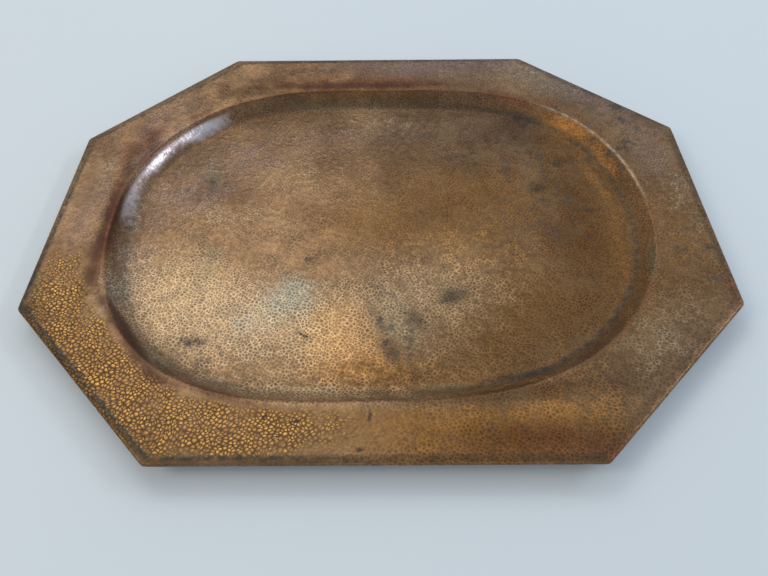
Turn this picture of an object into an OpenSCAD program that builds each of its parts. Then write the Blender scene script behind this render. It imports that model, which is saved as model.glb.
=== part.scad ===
// Octagonal hammered copper tray with an oval well and a wired, turned-under edge.
// Origin: centre of the flat underside, +X along the length, +Z up, millimetres.

/* [Outline] */
// Length of the tray over its folded edge
tray_length = 635; // [520:1:900]
// Width of the tray over its folded edge
tray_width = 527; // [430:1:760]
// How much each corner of the rectangle is cut back, at 45 degrees
corner_cut = 148; // [100:1:190]

/* [Rim and well] */
// Width of the rim from the outer edge to the ridge of the well, mid-side
rim_width = 56; // [40:0.5:80]
// Height of the outer edge above the ridge of the well
rim_rise = 6; // [0:0.5:12]
// Depth of the well from its ridge to its floor
well_depth = 14.5; // [10:0.5:30]
// Horizontal run of the well's sloping wall
wall_run = 14; // [10:0.5:30]
// Squareness of the oval well: 2 is an ellipse, more is fuller at the corners
oval_power = 2.5; // [2:0.05:2.8]
// Radius of the ridge where the rim turns down into the well
ridge_radius = 4; // [3:0.5:8]
// Radius of the hollow where the wall runs out into the floor
floor_radius = 8; // [4:0.5:14]

/* [Sheet] */
// Thickness of the copper sheet
sheet_t = 1; // [0.6:0.1:2]

/* [Wired edge] */
// Diameter of the stiffening wire inside the folded edge
wire_d = 2.4; // [1.5:0.1:4]
// Gap between the wire and the sheet that is wrapped around it
wire_clearance = 0.05; // [0.04:0.01:0.2]
// Inside radius of the bend that the wire makes at each corner
wire_bend = 2.5; // [1:0.5:10]
// Gap between the wire's two ends, which meet in the middle of one short side
wire_end_gap = 1; // [0.5:0.5:5]
// Angle at which the turned-under flap rises again behind the wire
flap_angle = 30; // [25:1:45]
// Gap between the tip of the flap and the sheet above it
flap_gap = 0.15; // [0.1:0.05:0.5]
// Rounding of the crease that runs around the tray above the flap's tip
crease_radius = 3; // [2:0.5:6]

/* [Hidden] */

// Smoothness: segments of each part of the sheet's section and outline, and sides of
// the wire. The sheet and the wire turn each corner in the same steps, to stay clear.
fold_steps = 8;
flap_bend_steps = 2;
ridge_steps = 4;
hollow_steps = 4;
rim_steps = 2;
corner_steps = 4;
side_steps = 8;
diagonal_steps = 10;
wire_sides = 12;

// Octagon
half_length = tray_length / 2;
half_width = tray_width / 2;
corners = 8;
turn = 360 / corners;
half_turn_tan = tan(turn / 2);

// Wired edge, in section: the sheet's inner and outer radius around the wire
fold_in = wire_d / 2 + wire_clearance;
fold_out = fold_in + sheet_t;
wire_path_radius = wire_bend + wire_d / 2;
corner_radius = wire_path_radius + fold_out;
flap_length = (fold_in * (1 + cos(flap_angle)) - flap_gap) / sin(flap_angle);
hem_width = fold_out * (1 + sin(flap_angle)) + flap_length * cos(flap_angle);

// Heights of the sheet's upper face
floor_z = sheet_t;
ridge_z = floor_z + well_depth;
edge_z = ridge_z + rim_rise;
wire_z = edge_z - fold_out;

// Slopes of the rim and of the wall, in degrees below the level
rim_slope = atan2(rim_rise, rim_width - hem_width);
wall_slope = atan2(well_depth, wall_run);

// Oval along the ridge of the well
oval_x = half_length - rim_width;
oval_y = half_width - rim_width;

// A point at an angle on a circle
function polar(radius, angle) = radius * [cos(angle), sin(angle)];

// Points along an arc, both ends included
function arc(centre, radius, from, to, steps) =
    [for (i = [0:steps]) centre + polar(radius, from + (to - from) * i / steps)];

// Points that split the line between two points into equal steps, ends left out
function between(start, end, steps) =
    [for (i = [1:steps - 1]) start + (end - start) * i / steps];

// Corner i of the octagon that lies a distance d inside the outer edge
function octagon_corner(i, d) =
    let (
        quadrant = floor(i / 2),
        on_short_side = (i % 2 == 0) == (quadrant % 2 == 0),
        cut = corner_cut + d * half_turn_tan,
        x = on_short_side ? half_length - d : half_length - cut,
        y = on_short_side ? half_width - cut : half_width - d,
        x_sign = quadrant == 0 || quadrant == 3 ? 1 : -1,
        y_sign = quadrant < 2 ? 1 : -1
    )
    [x_sign * x, y_sign * y];

// Centre of the arc that rounds corner i of that octagon
function corner_centre(i, d, radius) =
    octagon_corner(i, d) - polar(radius / cos(turn / 2), (i + 0.5) * turn);

function corner_arc(i, d, radius) =
    arc(corner_centre(i, d, radius), radius, i * turn, (i + 1) * turn, corner_steps);

// Rounded octagon a distance d inside the outer edge, counter-clockwise
function octagon_ring(d) =
    let (radius = max(corner_radius - d, crease_radius))
    [for (i = [0:corners - 1])
        let (
            bend = corner_arc(i, d, radius),
            next_bend = corner_arc((i + 1) % corners, d, radius),
            steps = i % 2 == 0 ? diagonal_steps : side_steps
        )
        each concat(bend, between(bend[corner_steps], next_bend[0], steps))];

crease_ring = octagon_ring(hem_width);
ring_size = len(crease_ring);

// Ridge of the well: the oval, seen from the centre in the crease ring's directions
function oval_point(direction) =
    let (
        x = cos(direction),
        y = sin(direction),
        reach = pow(pow(abs(x) / oval_x, oval_power) + pow(abs(y) / oval_y, oval_power), -1 / oval_power)
    )
    [reach * x, reach * y];

// Outward direction, square to the oval, at one of its points
function oval_normal(p) =
    let (
        x = sign(p.x) * pow(abs(p.x) / oval_x, oval_power - 1) / oval_x,
        y = sign(p.y) * pow(abs(p.y) / oval_y, oval_power - 1) / oval_y
    )
    [x, y] / norm([x, y]);

oval_points = [for (p = crease_ring) oval_point(atan2(p.y, p.x))];
oval_normals = [for (p = oval_points) oval_normal(p)];

// Ring of the sheet at a distance w inside the ridge and at height z
function well_ring(w, z) =
    [for (i = [0:ring_size - 1])
        let (p = oval_points[i] - w * oval_normals[i])
        [p.x, p.y, z]];

// Ring of the sheet at a distance d inside the outer edge and at height z
function edge_ring(d, z) = [for (p = octagon_ring(d)) [p.x, p.y, z]];

// Rings that span the rim from one ring to the next, both ends left out
function rim_rings(from, to) =
    [for (step = [1:rim_steps - 1])
        [for (i = [0:ring_size - 1]) from[i] + (to[i] - from[i]) * step / rim_steps]];

// The sheet's section in the well, as [w, z] points. The upper and the under face
// share the centres of both bends, so the sheet keeps its thickness.
ridge_tangent = ridge_radius * tan((wall_slope - rim_slope) / 2);
ridge_centre = [
    -ridge_tangent * cos(rim_slope) - ridge_radius * sin(rim_slope),
    ridge_z + ridge_tangent * sin(rim_slope) - ridge_radius * cos(rim_slope)
];
hollow_tangent = floor_radius * tan(wall_slope / 2);
hollow_centre = [wall_run + hollow_tangent, floor_z + floor_radius];

function ridge_section(depth) =
    arc(ridge_centre, ridge_radius - depth, 90 - wall_slope, 90 - rim_slope, ridge_steps);

function hollow_section(depth) =
    arc(hollow_centre, floor_radius + depth, 270, 270 - wall_slope, hollow_steps);

// Upper or under face of the well, from the floor up to the rim
function well_face(depth) =
    [for (p = concat(hollow_section(depth), ridge_section(depth))) well_ring(p.x, p.y)];

// The sheet's section around the wire, as [d, z] points: half a turn over the outer
// edge, from the top to the bottom, then up to where the straight flap begins
wire_centre = [fold_out, wire_z];
fold_top = 90;
fold_bottom = 270;
flap_end = fold_bottom + flap_angle;

function fold_section(radius) =
    concat(
        arc(wire_centre, radius, fold_top, fold_bottom, fold_steps),
        arc(wire_centre, radius, fold_bottom + flap_angle / flap_bend_steps, flap_end, flap_bend_steps - 1)
    );

function flap_tip(radius) =
    wire_centre + polar(radius, flap_end) + polar(flap_length, flap_angle);

function fold_face(radius) =
    [for (p = concat([[hem_width, wire_z + radius]], fold_section(radius), [flap_tip(radius)]))
        edge_ring(p.x, p.y)];

function reverse(list) = [for (i = [len(list) - 1:-1:0]) list[i]];

// Upper face of the rim and well, or their under face, with the fold's face on its end
function sheet_face(depth, radius) =
    let (
        well = well_face(depth),
        fold = fold_face(radius)
    )
    concat(well, rim_rings(well[len(well) - 1], fold[0]), fold);

// Skin over a stack of rings of equal size, closed by a flat face at either end
module skin(rings) {
    size = len(rings[0]);
    last = len(rings) - 1;
    points = [for (ring = rings) each ring];
    sides = [for (r = [0:last - 1], i = [0:size - 1])
        let (
            a = r * size + i,
            b = r * size + (i + 1) % size
        )
        each [[a, b, b + size], [a, b + size, a + size]]];
    start_cap = [for (i = [size - 1:-1:0]) i];
    end_cap = [for (i = [0:size - 1]) last * size + i];
    polyhedron(points, concat([start_cap], sides, [end_cap]), convexity = 8);
}

// One hammered sheet: floor, wall, ridge and rim, folded around the wire at its edge
module tray_sheet() {
    color("#8a5a34")
    skin(concat(sheet_face(0, fold_out), reverse(sheet_face(sheet_t, fold_in))));
}

// Places along the wire's bend at corner i, as [x, y, outward direction]
function wire_bend_places(i) =
    let (centre = corner_centre(i, fold_out, wire_path_radius))
    [for (step = [0:corner_steps])
        let (
            outward = (i + step / corner_steps) * turn,
            p = centre + polar(wire_path_radius, outward)
        )
        [p.x, p.y, outward]];

// Section of the wire at one of its places
function wire_ring(place) =
    [for (side = [0:wire_sides - 1])
        let (
            p = polar(wire_d / 2, side * 360 / wire_sides),
            outward = polar(p.x, place.z)
        )
        [place.x + outward.x, place.y + outward.y, wire_z + p.y]];

// Stiffening wire, one bent length whose ends meet in the middle of a short side
module edge_wire() {
    end_side = 4;
    end_x = fold_out - half_length;
    first = [end_x, -wire_end_gap / 2, end_side * turn];
    last = [end_x, wire_end_gap / 2, end_side * turn];
    bends = [for (i = [0:corners - 1]) each wire_bend_places((i + end_side) % corners)];
    color("#6e6660")
    skin([for (place = concat([first], bends, [last])) wire_ring(place)]);
}

tray_sheet();
edge_wire();
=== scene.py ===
# Looks of the octagonal hammered copper tray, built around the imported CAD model.
# Lengths in this script are millimetres until a mesh, lamp or camera is made in metres.
import math
import bpy
import numpy as np
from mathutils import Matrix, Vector


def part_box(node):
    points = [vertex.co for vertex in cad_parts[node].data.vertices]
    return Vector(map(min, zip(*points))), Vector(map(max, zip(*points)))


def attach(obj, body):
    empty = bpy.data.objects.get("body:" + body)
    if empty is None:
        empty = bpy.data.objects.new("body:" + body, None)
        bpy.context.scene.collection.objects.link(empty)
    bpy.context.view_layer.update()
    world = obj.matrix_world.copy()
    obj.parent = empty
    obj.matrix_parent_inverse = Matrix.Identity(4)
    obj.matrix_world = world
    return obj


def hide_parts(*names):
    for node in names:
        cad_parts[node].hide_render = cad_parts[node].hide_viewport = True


MM = 0.001
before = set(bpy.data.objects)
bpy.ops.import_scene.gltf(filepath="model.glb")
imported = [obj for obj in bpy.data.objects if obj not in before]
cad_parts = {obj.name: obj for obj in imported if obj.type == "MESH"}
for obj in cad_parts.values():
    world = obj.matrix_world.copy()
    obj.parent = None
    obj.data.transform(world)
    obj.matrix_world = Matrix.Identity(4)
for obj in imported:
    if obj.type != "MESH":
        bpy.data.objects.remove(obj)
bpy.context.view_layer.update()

# ------ sizes from the frame
sheet_high = np.array(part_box("tray_sheet")[1]) / MM
wire_low, wire_high = (np.array(corner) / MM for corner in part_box("edge_wire"))
HALF_LENGTH = sheet_high[0]
HALF_WIDTH = sheet_high[1]
EDGE_Z = sheet_high[2]
WIRE_RADIUS = (wire_high[2] - wire_low[2]) / 2
WIRE_Z = (wire_high[2] + wire_low[2]) / 2
FOLD_OUT = EDGE_Z - WIRE_Z

# Sizes that the frame's boxes don't show, as in the CAD model to a hundredth of a millimetre
SHEET_T = 1.0
FOLD_IN = FOLD_OUT - SHEET_T
CORNER_CUT = 148.0
CORNER_RADIUS = 5.95
CREASE_RADIUS = 3.0
HEM_WIDTH = 7.16
FLAP_ANGLE = math.radians(30)
FLAP_LENGTH = 4.37
RIM_WIDTH = 56.0
RIM_RISE = 6.0
WELL_DEPTH = 14.5
WALL_RUN = 14.0
OVAL_POWER = 2.5

# Bends of the well's section, softer than the CAD model's 4 and 8
RIDGE_RADIUS = 4.5
HOLLOW_RADIUS = 18.0

FLOOR_Z = SHEET_T
RIDGE_Z = FLOOR_Z + WELL_DEPTH
RIM_SLOPE = math.atan2(RIM_RISE, RIM_WIDTH - HEM_WIDTH)
WALL_SLOPE = math.atan2(WELL_DEPTH, WALL_RUN)

# ------ how a hand made it
# How far each corner of the octagon is off its ideal place, counter-clockwise from the
# corner at +X that is nearest to +Y
CORNER_SHIFTS = [(0, 4), (1, -6), (-5, 0), (0, 0), (4, -1.5), (0, 2), (2, 2), (-2, -4)]
# Waves of the ridge around the oval: (waves in a turn, cosine part, sine part)
RIDGE_WAVES = [(2, 0.3, 1.3), (3, 2.0, 1.5), (6, 2.0, -0.8)]
# Hammer marks: spacing and irregularity of their middles, and how far they are turned
MARK_PITCH = 3.2
MARK_RANDOMNESS = 0.9
MARK_TURN = math.radians(27)
# Rise of the dimples at a distance from their middles, given in pitches, and the highest
# they get, as a share of that distance
MARK_DEPTH = 0.07
MARK_REACH = 0.62
MARK_HIGHEST = 1.3
# How the marks crowd together and spread apart: waves that shift their places
CROWDING_SHIFT = 0.5
CROWDING_LENGTHS = (18, 60)
CROWDING_WAVES = 12
CROWDING_SEED = 3
# Depth of the marks on the underside, as a share of the upper face's
UNDERSIDE_MARK_SHARE = 0.35
# Slow unevenness of the beaten sheet, full from a distance inside the edge and fading to
# none at the crease
SWELL_HEIGHT = 0.2
SWELL_LENGTHS = (55, 150)
SWELL_WAVES = 26
SWELL_SEED = 7
SWELL_FADE = 35.0

# ------ fineness of the meshes
# Rings of the sheet's upper face, from its middle outwards
FLOOR_RINGS = 144
HOLLOW_RINGS = 8
WALL_RINGS = 6
RIDGE_RINGS = 6
RIM_RINGS = 36
TOP_RINGS = FLOOR_RINGS + HOLLOW_RINGS + WALL_RINGS + RIDGE_RINGS + RIM_RINGS
# Each ring has this many points more than the one inside it
SPOKES_PER_RING = 6
# The underside has a ring for every few of the upper face's
UNDERSIDE_COARSER = 2
FOLD_OUTER_STEPS = 10
FOLD_INNER_STEPS = 6
FLAP_BEND_STEPS = 2
# Where the flap has its rings, and where its rounded tip lies, as shares of its length
FLAP_MIDDLE = 0.5
FLAP_END = 0.95
FLAP_TIP = 1.04
CURVE_SAMPLES = 7200
WIRE_END_GAP = 1.0
WIRE_RINGS = 720
WIRE_SIDES = 12

# ------ colours, in linear light
BROWN_DARK = (0.20, 0.115, 0.060, 1)
BROWN_LIGHT = (0.33, 0.20, 0.105, 1)
BROWN_UMBER = (0.17, 0.105, 0.070, 1)
ORANGE = (0.60, 0.28, 0.075, 1)
RED_BROWN = (0.22, 0.085, 0.04, 1)
MAROON = (0.075, 0.034, 0.024, 1)
OLIVE = (0.19, 0.18, 0.11, 1)
BLOOM = (0.33, 0.33, 0.28, 1)
PAINTED_GLINT_GOLD = (0.66, 0.36, 0.095, 1)
GOLD_GROUND = (0.07, 0.037, 0.026, 1)
CREAM_PAINTED_HIGHLIGHT = (0.62, 0.50, 0.36, 1)
DARK_LINE = (0.045, 0.055, 0.050, 1)
SLATE = (0.075, 0.072, 0.075, 1)
FILM = (0.87, 0.87, 0.87, 1)
HAZE_AND_PAINTED_REFLECTION = (0.24, 0.175, 0.155, 1)
WARM = (0.26, 0.125, 0.035, 1)
POLISHED_AND_PAINTED_SHEEN = (0.57, 0.41, 0.24, 1)
BLACKENED = (0.05, 0.04, 0.032, 1)
PAINTED_SILVER_HIGHLIGHT = (0.95, 0.88, 0.92, 1)
TARNISHED = (0.36, 0.33, 0.31, 1)
IRON = (0.19, 0.18, 0.17, 1)
RUST = (0.16, 0.065, 0.03, 1)
MARK_BUMP = 0.55
IRON_BUMP = 0.5
IRON_GRAIN_DEPTH = 0.05
IRON_METALLIC = 0.8
GOLD_GROUND_SHARE = 0.85
MAROON_SHARE = 0.8

# How each stain's border is broken up by noise, and the values at which it starts and is full
STAIN_EDGES = {
    "polish_and_painted_sheen": (0.5, 0.1, 0.95),
    "orange_and_painted_glints": (0.6, 0.15, 0.95),
    "red": (0.6, 0.2, 0.9),
    "olive": (0.7, 0.2, 0.95),
    "haze_and_painted_reflection": (0.5, 0.1, 1.0),
    "bloom": (0.6, 0.15, 0.9),
    "gold_ground_and_painted_glints": (0.8, 0.15, 0.95),
    "maroon": (0.6, 0.2, 0.85),
    "ridge_painted_highlight": (0.3, 0.2, 0.9),
    "painted_silver_highlight": (0.4, 0.2, 0.9),
    "tarnish": (0.6, 0.05, 1.0),
    "warm": (0.5, 0.1, 1.0),
    "spotted": (0.3, 0.1, 0.8),
    "dark": (0.9, 0.3, 0.8),
}
# Stains laid over the brown in this order, with painted sheen, glints and reflection among them: name,
# strength and colour
PATINA_LAYERS = [
    ("haze_and_painted_reflection", 0.8, HAZE_AND_PAINTED_REFLECTION),
    ("warm", 0.8, WARM),
    ("orange_and_painted_glints", 0.75, ORANGE),
    ("red", 0.7, RED_BROWN),
    ("olive", 0.65, OLIVE),
    ("polish_and_painted_sheen", 0.6, POLISHED_AND_PAINTED_SHEEN),
    ("bloom", 0.5, BLOOM),
]
# Lines across the sheet: their half widths, and places as distances outside the ridge
CREASE_DARK_WIDTH = 3.6
FOOT_DARK_WIDTH = 6.0
RIDGE_LINE_PLACE = 1.0
RIDGE_LINE_WIDTH = 2.6
WALL_SHEEN_PLACE = -12.0
WALL_SHEEN_WIDTH = 18.0

# ------ floor, light and camera
# These lengths are in metres. The floor lies a little below the tray, so that the two
# surfaces never share a plane.
FLOOR_HALF = 30.0
FLOOR_GAP = 0.0003
FLOOR_COLOUR = (0.84, 0.93, 0.98, 1)
FLOOR_ROUGHNESS = 0.9
# Light from all round, which changes from the horizon up to a height on the unit sphere
SURROUNDINGS = (0.84, 0.91, 1.0, 1)
HORIZON_FADE = 0.5
HORIZON_STRENGTH = 0.7
OVERHEAD_STRENGTH = 0.42
# Lamps: name, direction, distance, size, power and colour
LAMPS = [
    ("window_behind_left", (-0.31, 0.57, 0.76), 2.2, (1.3, 0.9), 7.4, (1.0, 0.96, 0.88)),
    ("window_right", (0.76, 0.15, 0.61), 2.0, (1.0, 0.14), 5.0, (0.86, 0.88, 1.0)),
    ("soft_left", (-0.67, -0.25, 0.70), 2.0, (0.6, 0.6), 5.5, (1.0, 0.82, 0.60)),
    ("soft_front", (0.10, -0.75, 0.65), 2.6, (1.6, 1.0), 3.5, (0.95, 0.97, 1.0)),
    ("window_behind_right", (0.24, 0.65, 0.72), 2.4, (1.2, 0.9), 2.8, (0.84, 0.93, 1.0)),
]
CAMERA_PLACE = (0.0188, -0.4525, 0.4660)
CAMERA_TURN = (0.6723, 0.02245, 0.00368)
CAMERA_LENS = 30.23
CAMERA_SENSOR = 36.0


def unit(angle):
    """Unit vectors at angles in radians."""
    return np.stack([np.cos(angle), np.sin(angle)], -1)


def mix(first, second, share):
    """The value a share of the way from the first to the second."""
    return first + (second - first) * share


def smooth(value, low, high):
    """Smooth step from 0 at low to 1 at high."""
    share = np.clip((value - low) / (high - low), 0, 1)
    return share * share * (3 - 2 * share)


# ------ oval of the well
def sampled_oval():
    """The uneven ridge line: places, outward directions and shares of its length."""
    half_x = HALF_LENGTH - RIM_WIDTH
    half_y = HALF_WIDTH - RIM_WIDTH
    around = np.linspace(0, 2 * math.pi, CURVE_SAMPLES + 1)
    x, y = unit(around).T
    reach = (np.abs(x / half_x) ** OVAL_POWER + np.abs(y / half_y) ** OVAL_POWER) ** (-1 / OVAL_POWER)
    phase = np.arctan2(y / half_y, x / half_x)
    for count, cosine, sine in RIDGE_WAVES:
        reach = reach + cosine * np.cos(count * phase) + sine * np.sin(count * phase)
    places = reach[:, None] * unit(around)
    along = np.gradient(places, axis=0)
    along[0] = along[-1] = places[1] - places[-2]
    outward = np.stack([along[:, 1], -along[:, 0]], -1)
    outward /= np.linalg.norm(outward, axis=1)[:, None]
    steps = np.linalg.norm(np.diff(places, axis=0), axis=1)
    length = np.concatenate([[0], np.cumsum(steps)])
    return places, outward, length / length[-1]


OVAL_PLACES, OVAL_OUTWARD, OVAL_SHARES = sampled_oval()


def oval_at(shares):
    """Places on the ridge and its outward directions, at shares of its length from +X."""
    places = np.stack([np.interp(shares, OVAL_SHARES, OVAL_PLACES[:, k]) for k in (0, 1)], -1)
    outward = np.stack([np.interp(shares, OVAL_SHARES, OVAL_OUTWARD[:, k]) for k in (0, 1)], -1)
    return places, outward / np.linalg.norm(outward, axis=1)[:, None]


# ------ octagonal outline
CORNERS = 8
TURN = 2 * math.pi / CORNERS


def octagon_corners(inset):
    """The outline's eight corners a distance inside the outer edge, shifted by hand."""
    cut = CORNER_CUT + inset * math.tan(TURN / 2)
    near_x = (HALF_LENGTH - inset, HALF_WIDTH - cut)
    near_y = (HALF_LENGTH - cut, HALF_WIDTH - inset)
    ideal = [near_x, near_y]
    ideal += [(-x, y) for x, y in (near_y, near_x)]
    ideal += [(-x, -y) for x, y in (near_x, near_y)]
    ideal += [(x, -y) for x, y in (near_y, near_x)]
    return np.array(ideal) + np.array(CORNER_SHIFTS)


def outline_address(shares):
    """For shares of the outline from +X: the piece, corner or side, and the share of it."""
    corners = octagon_corners(HEM_WIDTH)
    bend = CREASE_RADIUS * TURN
    tangent = CREASE_RADIUS * math.tan(TURN / 2)
    sides = np.linalg.norm(np.roll(corners, -1, axis=0) - corners, axis=1) - 2 * tangent
    pieces = np.stack([np.full(CORNERS, bend), sides], -1).ravel()
    ends = np.cumsum(pieces)
    start = corners[-1, 1] + tangent
    travel = (shares * ends[-1] - start - sides[-1]) % ends[-1]
    piece = np.searchsorted(ends, travel, side="right").clip(0, len(pieces) - 1)
    share = (travel - (ends[piece] - pieces[piece])) / pieces[piece]
    return piece, share


def outline_at(address, inset):
    """Places on the outline a distance inside the outer edge."""
    piece, share = address
    radius = max(CORNER_RADIUS - inset, CREASE_RADIUS)
    corners = octagon_corners(inset)
    middle = unit((np.arange(CORNERS) + 0.5) * TURN)
    centres = corners - radius / math.cos(TURN / 2) * middle
    corner = piece // 2
    following = (corner + 1) % CORNERS
    bend = centres[corner] + radius * unit((corner + share) * TURN)
    side_start = centres[corner] + radius * unit((corner + 1) * TURN)
    side_end = centres[following] + radius * unit((corner + 1) * TURN)
    side = mix(side_start, side_end, share[:, None])
    return np.where((piece % 2 == 0)[:, None], bend, side)


def outline_outward(address):
    """Outward directions at places on the outline."""
    piece, share = address
    turns = piece // 2 + np.where(piece % 2 == 0, share, 1)
    return unit(turns * TURN)


# ------ the sheet's section
def arc(centre, radius, start, end, steps):
    """Points along an arc in the section, both ends included; angles in radians."""
    angles = np.linspace(start, end, steps + 1)
    return np.array(centre) + radius * unit(angles)


RIDGE_TANGENT = RIDGE_RADIUS * math.tan((WALL_SLOPE - RIM_SLOPE) / 2)
RIDGE_CENTRE = (
    -RIDGE_TANGENT * math.cos(RIM_SLOPE) - RIDGE_RADIUS * math.sin(RIM_SLOPE),
    RIDGE_Z + RIDGE_TANGENT * math.sin(RIM_SLOPE) - RIDGE_RADIUS * math.cos(RIM_SLOPE),
)
HOLLOW_CENTRE = (WALL_RUN + HOLLOW_RADIUS * math.tan(WALL_SLOPE / 2), FLOOR_Z + HOLLOW_RADIUS)


def well_section(depth, coarser):
    """Wall of the well as [distance inside the ridge, z], from the floor up to the rim."""
    lower = arc(
        HOLLOW_CENTRE, HOLLOW_RADIUS + depth, 1.5 * math.pi, 1.5 * math.pi - WALL_SLOPE,
        HOLLOW_RINGS // coarser,
    )
    upper = arc(
        RIDGE_CENTRE, RIDGE_RADIUS - depth, math.pi / 2 - WALL_SLOPE, math.pi / 2 - RIM_SLOPE,
        RIDGE_RINGS // coarser,
    )
    wall = np.linspace(lower[-1], upper[0], WALL_RINGS // coarser + 1)
    return np.concatenate([lower, wall[1:], upper[1:]])


def fold_section():
    """The fold as [distance inside the edge, z]: its outer face, then its inner one."""
    centre = (FOLD_OUT, WIRE_Z)
    half_turn = (math.pi / 2, 1.5 * math.pi)
    flap_end = half_turn[1] + FLAP_ANGLE
    top_middle = mix(HEM_WIDTH, FOLD_OUT, 0.5)
    flap = FLAP_LENGTH * unit(FLAP_ANGLE)
    outer = arc(centre, FOLD_OUT, *half_turn, FOLD_OUTER_STEPS)
    outer_bend = arc(centre, FOLD_OUT, half_turn[1], flap_end, FLAP_BEND_STEPS)[1:]
    outer_flap = outer_bend[-1] + np.outer([FLAP_MIDDLE, FLAP_END], flap)
    inner = arc(centre, FOLD_IN, *half_turn, FOLD_INNER_STEPS)
    inner_bend = arc(centre, FOLD_IN, half_turn[1], flap_end, FLAP_BEND_STEPS)[1:]
    inner_flap = inner_bend[-1] + np.outer([FLAP_END, FLAP_MIDDLE], flap)
    tip = mix(outer_bend[-1], inner_bend[-1], 0.5) + FLAP_TIP * flap
    outside = np.concatenate([[(top_middle, EDGE_Z)], outer, outer_bend, outer_flap, [tip]])
    inside = np.concatenate([
        inner_flap, inner_bend[::-1], inner[::-1], [(top_middle, EDGE_Z - SHEET_T)],
    ])
    return outside, inside


# ------ rings of the sheet
class Sheet:
    """Collects the sheet's rings of points and the triangles between them."""

    def __init__(self):
        self.points = []
        self.flat = []
        self.faces = []
        self.count = 0

    def add_ring(self, points, flat):
        """Adds a ring, with its places on the flattened sheet, and returns its start."""
        start = self.count
        self.points.append(points)
        self.flat.append(flat)
        self.count += len(points)
        return start

    def add_faces(self, faces, upward):
        """Adds triangles, turned over where they face down."""
        self.faces.append(faces if upward else faces[:, ::-1])


def ring_triangles(inner, outer, ring):
    """Triangles between ring (ring - 1) and ring, numbered from the middle outwards."""
    inner_size = max(SPOKES_PER_RING * (ring - 1), 1)
    outer_size = SPOKES_PER_RING * ring
    sector, step = np.divmod(np.arange(outer_size), ring)
    outer_here = outer + sector * ring + step
    outer_next = outer + (sector * ring + step + 1) % outer_size
    inner_here = inner + (sector * (ring - 1) + step) % inner_size
    outward = np.stack([outer_here, outer_next, inner_here], -1)
    inward = step > 0
    inner_before = inner + (sector * (ring - 1) + step - 1) % inner_size
    second = np.stack([inner_before, outer_here, inner_here], -1)[inward]
    return np.concatenate([outward, second])


def band_triangles(first, second, size):
    """Triangles between two rings of equal size, the second outside the first."""
    here = np.arange(size)
    following = (here + 1) % size
    return np.concatenate([
        np.stack([first + here, second + here, second + following], -1),
        np.stack([first + here, second + following, first + following], -1),
    ])


def halving_triangles(fine, coarse, size):
    """Triangles from a ring inward to one with half as many points."""
    here = np.arange(size // 2)
    following = (here + 1) % (size // 2)
    after = (2 * here + 2) % size
    return np.concatenate([
        np.stack([fine + 2 * here, fine + 2 * here + 1, coarse + here], -1),
        np.stack([fine + 2 * here + 1, coarse + following, coarse + here], -1),
        np.stack([fine + 2 * here + 1, fine + after, coarse + following], -1),
    ])


def ring_shares(ring):
    """Where a ring's points lie, as shares of a turn."""
    size = SPOKES_PER_RING * ring
    return np.arange(size) / size


def face_rings(depth, coarser):
    """One face of the sheet, from its middle to the crease: rings of points and flat places.

    depth is how far the face lies under the upper one; coarser divides the rings."""
    section = well_section(depth, coarser)
    steps = np.linalg.norm(np.diff(section, axis=0), axis=1)
    stretch = np.concatenate([[0], np.cumsum(steps)]) + section[:, 0] - section[0, 0]
    floor_rings = FLOOR_RINGS // coarser
    rim_rings = RIM_RINGS // coarser
    crease_z = EDGE_Z - depth
    yield np.array([[0, 0, section[0, 1]]]), np.zeros((1, 2))
    ring = 0
    for ring in range(1, floor_rings + 1):
        ridge, outward = oval_at(ring_shares(ring))
        plan = (ridge - section[0, 0] * outward) * ring / floor_rings
        yield np.c_[plan, np.full(len(plan), section[0, 1])], plan
    for (inset, z), extra in zip(section[1:], stretch[1:]):
        ring += 1
        ridge, outward = oval_at(ring_shares(ring))
        plan = ridge - inset * outward
        yield np.c_[plan, np.full(len(plan), z)], plan + extra * outward
    for step in range(1, rim_rings + 1):
        ring += 1
        share = step / rim_rings
        ridge, outward = oval_at(ring_shares(ring))
        address = outline_address(ring_shares(ring))
        start = ridge - section[-1, 0] * outward
        plan = mix(start, outline_at(address, HEM_WIDTH), share)
        direction = mix(outward, outline_outward(address), share)
        direction /= np.linalg.norm(direction, axis=1)[:, None]
        z = mix(section[-1, 1], crease_z, share)
        yield np.c_[plan, np.full(len(plan), z)], plan + stretch[-1] * direction


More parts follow.
